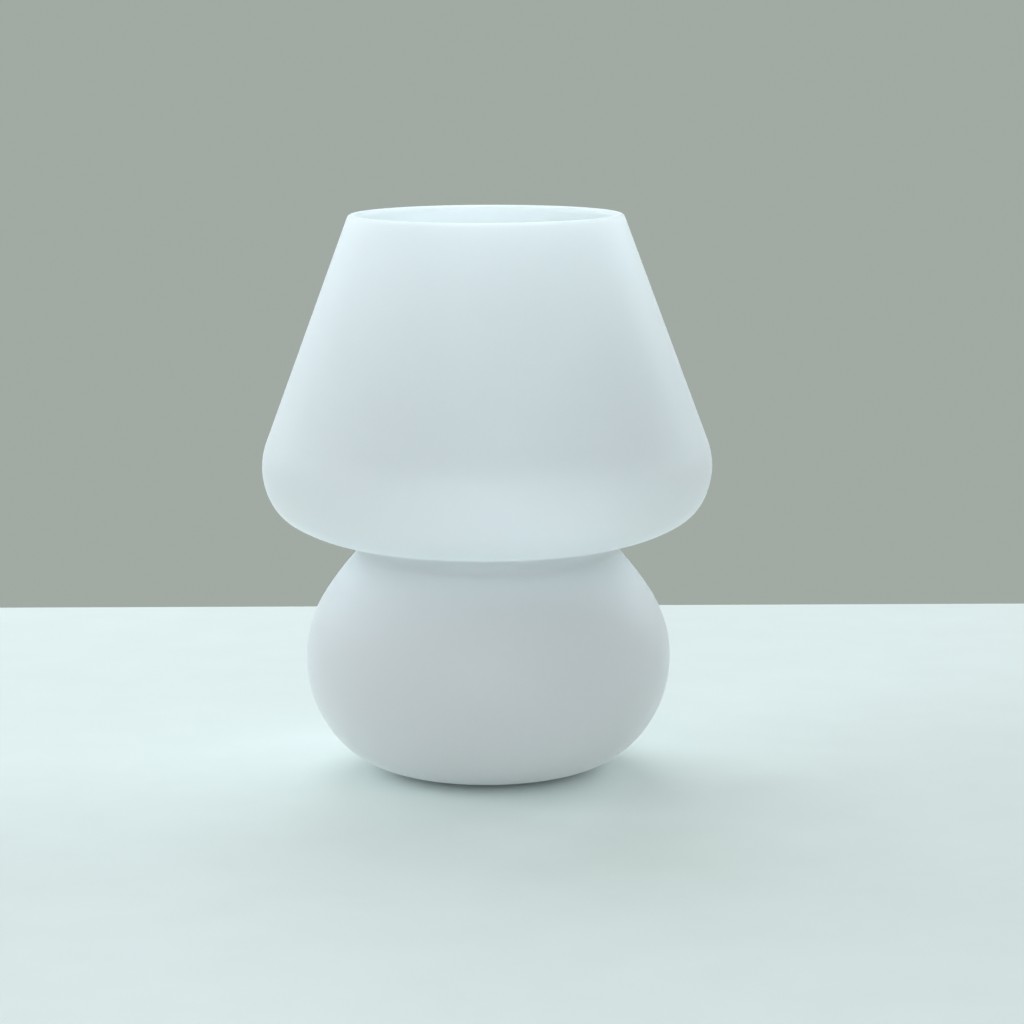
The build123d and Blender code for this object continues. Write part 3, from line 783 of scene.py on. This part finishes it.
VITRITE = black_vitrite()


# ------------------------------------------------------------------ pieces
def glass_body():
    """The blown glass, with its hole for the cord."""
    piece = turned("opal_glass", glass_outline(), OPAL, segments=GLASS_SEGMENTS)
    tilt = asin((base_widest_z - INLET_HEIGHT) / BASE_LOWER_RADIUS)
    inlet = Vector((0, BASE_RADIUS - BASE_LOWER_RADIUS * (1 - cos(tilt)), INLET_HEIGHT)) * MM
    way = Vector((0, cos(tilt), -sin(tilt)))
    drill = bmesh.new()
    bmesh.ops.create_cone(
        drill,
        cap_ends=True,
        segments=SMALL_SEGMENTS,
        radius1=INLET_HOLE_RADIUS * MM,
        radius2=INLET_HOLE_RADIUS * MM,
        depth=6 * GLASS_WALL * MM,
        matrix=Matrix.Translation(inlet) @ way.to_track_quat("Z", "X").to_matrix().to_4x4(),
    )
    dress(cut_away(piece, drill), "lamp", "opal_glass", "glass_body")


def threaded_tube(name, node):
    """A length of hollow tube with a fine thread from end to end."""
    bottom, top, radius = extent(node)
    root = radius - TUBE_THREAD_DEPTH
    outside = straight(
        (radius, bottom + TUBE_THREAD_DEPTH),
        (radius, top - TUBE_THREAD_DEPTH),
        TUBE_PITCH / ROWS_PER_TURN,
    )
    ends = [(TUBE_BORE_RADIUS, bottom), (root, bottom)]
    ends_above = [(root, top), (TUBE_BORE_RADIUS, top)]
    groove = thread(
        TUBE_PITCH, TUBE_THREAD_DEPTH, 0, bottom - TUBE_PITCH, top + TUBE_PITCH, TUBE_PITCH,
        root + 0.1 * TUBE_THREAD_DEPTH,
    )
    piece = turned(name, ends + outside + ends_above, ZINC, segments=TUBE_SEGMENTS, inputs=groove)
    dress(piece, "lamp", "zinc_steel", node)


def screw_shell():
    """The sheet-metal shell that takes the bulb, with its rolled thread."""
    bottom, top, radius = extent("screw_shell")
    inner = radius - SHELL_SHEET
    row = LAMP_PITCH / ROWS_PER_TURN
    outside = rounded(
        [(SHELL_FLOOR_RADIUS, bottom), (radius, bottom), (radius, bottom + SHELL_PLAIN)],
        [2 * SHELL_SHEET],
    )
    outside += straight((radius, bottom + SHELL_PLAIN), (radius, top), row)
    inside = straight((inner, top), (inner, bottom + SHELL_PLAIN), row)
    inside += rounded(
        [
            (inner, bottom + SHELL_PLAIN),
            (inner, bottom + SHELL_SHEET),
            (SHELL_FLOOR_RADIUS, bottom + SHELL_SHEET),
        ],
        [SHELL_SHEET],
    )
    rolled = thread(
        LAMP_PITCH, LAMP_THREAD_DEPTH, 1, bottom + SHELL_PLAIN, top - SHELL_EDGE, LAMP_RUN_OUT,
        SHELL_FLOOR_RADIUS,
    )
    piece = turned("screw_shell_rolled", outside + inside, BRASS, inputs=rolled)
    dress(piece, "lamp", "brass", "screw_shell")


def terminal_screws():
    """The two slotted screws of the terminals, heads down."""
    bottom, top, _ = extent("terminal_screws")
    low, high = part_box("terminal_screws")
    head_top = bottom + SCREW_HEAD_HEIGHT
    outline = rounded(
        [
            (0, bottom),
            (SCREW_HEAD_RADIUS, bottom),
            (SCREW_HEAD_RADIUS, head_top),
            (SCREW_RADIUS, head_top),
            (SCREW_RADIUS, top),
            (0, top),
        ],
        [EDGE_ROUND, 0, 0, EDGE_ROUND],
    )
    piece = turned("slotted_screws", outline, ZINC, closed=False)
    slot = (SCREW_SLOT_WIDTH, 3 * SCREW_HEAD_RADIUS, 2 * SCREW_SLOT_DEPTH)
    piece = cut_away(piece, block(slot, (0, 0, bottom)))
    first = Vector((-SCREW_SPACING / 2 * MM, (low.y + high.y) / 2, 0))
    step = Vector((SCREW_SPACING * MM, 0, 0))
    row = {"Count": SCREW_COUNT, "First place": first, "Step": step, "Finish": ZINC}
    run_tree(piece, ROW, row)
    dress(soften(piece), "lamp", "zinc_steel", "terminal_screws")


def bulb_tip():
    """The bulb's soldered tip."""
    bottom, top, radius = extent("bulb_tip")
    outline = rounded(
        [(0, bottom), (radius - TIP_ROUND / 2, bottom), (radius, top), (0, top)], [TIP_ROUND, 0]
    )
    piece = turned("soldered_tip", outline, SOLDER, closed=False)
    dress(piece, "bulb_rise", "solder_tip", "bulb_tip")


def bulb_insulator():
    """The black cone between tip and cap, its upper part gripped inside the cap."""
    bottom, top, _ = extent("bulb_insulator")
    cap_bottom, _, crest = extent("bulb_cap")
    tip_radius = extent("bulb_tip")[2]
    reach = crest - LAMP_THREAD_DEPTH - CAP_SHEET
    outline = rounded(
        [
            (0, bottom),
            (tip_radius + INSULATOR_RIM, bottom),
            (reach - CAP_CRIMP, cap_bottom),
            (reach, cap_bottom + CAP_CRIMP),
            (reach, top),
            (0, top),
        ],
        [EDGE_ROUND, EDGE_ROUND, 0, 0],
    )
    piece = turned("insulator_cone", outline, VITRITE, closed=False)
    dress(piece, "bulb", "black_insulator", "bulb_insulator")


def bulb_cap():
    """The bulb's cap of thin sheet, with its rolled thread, drawn in over the insulator."""
    bottom, top, crest = extent("bulb_cap")
    root = crest - LAMP_THREAD_DEPTH
    lead = bottom + CAP_LEAD
    row = LAMP_PITCH / ROWS_PER_TURN
    outside = [Vector((root - CAP_CRIMP, bottom)), Vector((root, bottom + CAP_CRIMP))]
    outside += straight((root, lead), (crest, lead + LAMP_RUN_OUT), row)
    outside += straight((crest, lead + LAMP_RUN_OUT), (crest, top), row)
    inside = [point - Vector((CAP_SHEET, 0)) for point in reversed(outside)]
    rolled = thread(
        LAMP_PITCH, LAMP_THREAD_DEPTH, 1, lead, top - CAP_SKIRT, LAMP_RUN_OUT, TUBE_BORE_RADIUS
    )
    piece = turned("cap_rolled", outside + inside, NICKEL, inputs=rolled)
    dress(piece, "bulb", "nickel_cap", "bulb_cap")


def bulb_housing():
    """The plastic housing, its neck inside the cap, flaring up to the globe."""
    bottom, top, joint_radius = extent("bulb_housing")
    _, cap_top, crest = extent("bulb_cap")
    neck_radius = crest - LAMP_THREAD_DEPTH - CAP_SHEET
    neck_bore = neck_radius - HOUSING_WALL
    deck_z = top - HOUSING_WALL
    _, globe_top, globe_radius = extent("bulb_diffuser")
    globe_below = globe_top - globe_radius - top
    foot, joint = Vector((HOUSING_FOOT_RADIUS, cap_top)), Vector((joint_radius, top))
    reach = (joint - foot).length
    way_in = Vector((0, reach))
    way_out = Vector((globe_below, joint_radius)).normalized() * reach
    flare = [
        smooth_curve(foot, way_in, joint, way_out, i / FLARE_STEPS) for i in range(FLARE_STEPS + 1)
    ]
    outline = [
        (0, deck_z),
        (joint_radius - HOUSING_DECK_RIM, deck_z),
        (neck_bore, cap_top),
        (neck_bore, bottom),
        (neck_radius, bottom),
        (neck_radius, cap_top),
        *flare,
        (0, top),
    ]
    piece = turned("flared_housing", outline, HOUSING_PLASTIC, closed=False)
    dress(piece, "bulb", "bulb_housing_white", "bulb_housing")


def bulb_led_board():
    """The white board and its ring of emitters."""
    bottom, top, radius = extent("bulb_led_board")
    board_top = bottom + BOARD_THICKNESS
    outline = [(0, bottom), (radius, bottom), (radius, board_top), (0, board_top)]
    board = turned("led_board", outline, BOARD, closed=False)
    dress(board, "bulb", "led_board_white", "bulb_led_board")
    height = top - board_top
    form = block((EMITTER_SIDE, EMITTER_SIDE, height), (0, 0, board_top + height / 2))
    mesh = bpy.data.meshes.new("emitters")
    form.to_mesh(mesh)
    form.free()
    emitters = new_object("emitters", mesh)
    run_tree(
        emitters,
        RING,
        {"Count": EMITTER_COUNT, "Radius": EMITTER_CIRCLE * MM, "Finish": PHOSPHOR},
    )
    dress(emitters, "bulb", "led_board_white")


def bulb_diffuser():
    """The frosted globe, open below where the housing holds it."""
    bottom, top, radius = extent("bulb_diffuser")
    centre = Vector((0, top - radius))
    below = centre.y - bottom
    inner = radius - DIFFUSER_WALL
    outline = arc(centre, inner, 90, -degrees(asin(below / inner)))
    outline += arc(centre, radius, -degrees(asin(below / radius)), 90)
    outline[0].x = outline[-1].x = 0
    piece = turned("frosted_globe", outline, DIFFUSER, closed=False, segments=GLASS_SEGMENTS)
    dress(piece, "bulb", "bulb_diffuser_opal", "bulb_diffuser")


def coated_solids():
    """Pieces whose solids already have their shape."""
    for number in range(PAD_COUNT):
        coat(f"foot_pad_{number + 1}", SILICONE)
    coat("cord_grommet", PVC)
    for node in ("lower_gasket", "upper_gasket"):
        coat(node, RUBBER)
    for node in (
        "clamp_plate", "spring_washer", "lower_nut", "upper_nut", "seat_dish", "cord_coupler"
    ):
        coat(node, ZINC)
    for node in ("coupler_bush", "holder_cap", "holder_shell"):
        coat(node, HOLDER_PLASTIC)
    coat("holder_insert", CERAMIC)
    coat("terminal_blocks", BRASS)
    coat("centre_contact", BRONZE)


glass_body()
threaded_tube("stem_threaded", "stem_tube")
threaded_tube("nipple_threaded", "short_nipple")
screw_shell()
terminal_screws()
bulb_tip()
bulb_insulator()
bulb_cap()
bulb_housing()
bulb_led_board()
bulb_diffuser()
coated_solids()


# ------------------------------------------------------------------ stage, light and camera
FLOOR_REACH = 0.365             # half the side of the square floor, metres
FLOOR_CORNER = 0.03
FLOOR_COLOUR = (0.765, 0.775, 0.74)
BACKDROP = (0.36, 0.40, 0.37)   # plain, seen behind the lamp from every side
LAMP_MIDDLE = (0, 0, 0.12)

DAYLIGHT = (0.775, 0.90, 1.0)
SOFTBOX_SIZE = 1.4
TOP_LIGHT_PLACE = (-0.2, 1.2, 1.5)
TOP_LIGHT_POWER = 14.5
SIDE_LIGHT_DISTANCE = 1.9
# Angle round the lamp in degrees, from the right and anticlockwise, height in metres and power
# in watts.
SIDE_LIGHTS = {
    "front": (-90, 0.25, 18.5),
    "left": (183, 0.8, 14.0),
    "back_left": (139, 0.8, 12.5),
    "back_right": (41, 0.8, 14.5),
    "front_right": (-47, 0.8, 4.5),
}


def floor():
    """A plain pale floor under the lamp."""
    finish, tree, shader = new_finish("pale_floor", FLOOR_COLOUR, 0.55)
    tint(tree, shader, pattern(tree, 30), (0.755, 0.765, 0.73), (0.775, 0.785, 0.75))
    inner = FLOOR_REACH - FLOOR_CORNER
    corners = []
    for start, (side, end) in zip((0, 90, 180, 270), ((1, 1), (-1, 1), (-1, -1), (1, -1))):
        corners += arc(Vector((side * inner, end * inner)), FLOOR_CORNER, start, start + 90)
    mesh = bpy.data.meshes.new("floor")
    mesh.from_pydata([(x, y, 0) for x, y in corners], [], [tuple(range(len(corners)))])
    mesh.materials.append(finish)
    new_object("floor", mesh)


def softbox(name, place, power):
    """A large soft light that the camera doesn't see, aimed at the lamp."""
    light = bpy.data.lights.new(name, "AREA")
    light.shape = "DISK"
    light.size = SOFTBOX_SIZE
    light.energy = power
    light.color = DAYLIGHT
    made = bpy.data.objects.new(name, light)
    made.visible_camera = False
    way = Vector(LAMP_MIDDLE) - Vector(place)
    turn = way.to_track_quat("-Z", "Y").to_matrix().to_4x4()
    made.matrix_world = Matrix.Translation(place) @ turn
    bpy.context.scene.collection.objects.link(made)


def studio():
    """Soft light from above and from round the lamp, on a plain backdrop."""
    world = bpy.data.worlds.new("studio")
    world.use_nodes = True
    background = world.node_tree.nodes["Background"]
    background.inputs["Color"].default_value = (*BACKDROP, 1)
    background.inputs["Strength"].default_value = 1.0
    bpy.context.scene.world = world
    bpy.context.scene.view_settings.view_transform = "Standard"
    softbox("above", TOP_LIGHT_PLACE, TOP_LIGHT_POWER)
    for name, (angle, height, power) in SIDE_LIGHTS.items():
        place = radial(angle) * SIDE_LIGHT_DISTANCE
        softbox(name, (*place, height), power)


CAMERA_PLACE = (0.0104, -1.340, 0.328)
CAMERA_PITCH = 0.1608
CAMERA_ROLL = -0.004
CAMERA_LENS = 112.5
CAMERA_SENSOR = 36.0
CAMERA_REACH = 50.0


def camera():
    data = bpy.data.cameras.new("camera")
    data.sensor_width = CAMERA_SENSOR
    data.lens = CAMERA_LENS
    data.clip_end = CAMERA_REACH
    made = bpy.data.objects.new("camera", data)
    made.matrix_world = (
        Matrix.Translation(CAMERA_PLACE)
        @ Matrix.Rotation(pi / 2 - CAMERA_PITCH, 4, "X")
        @ Matrix.Rotation(CAMERA_ROLL, 4, "Z")
    )
    bpy.context.scene.collection.objects.link(made)
    bpy.context.scene.camera = made


floor()
studio()
camera()
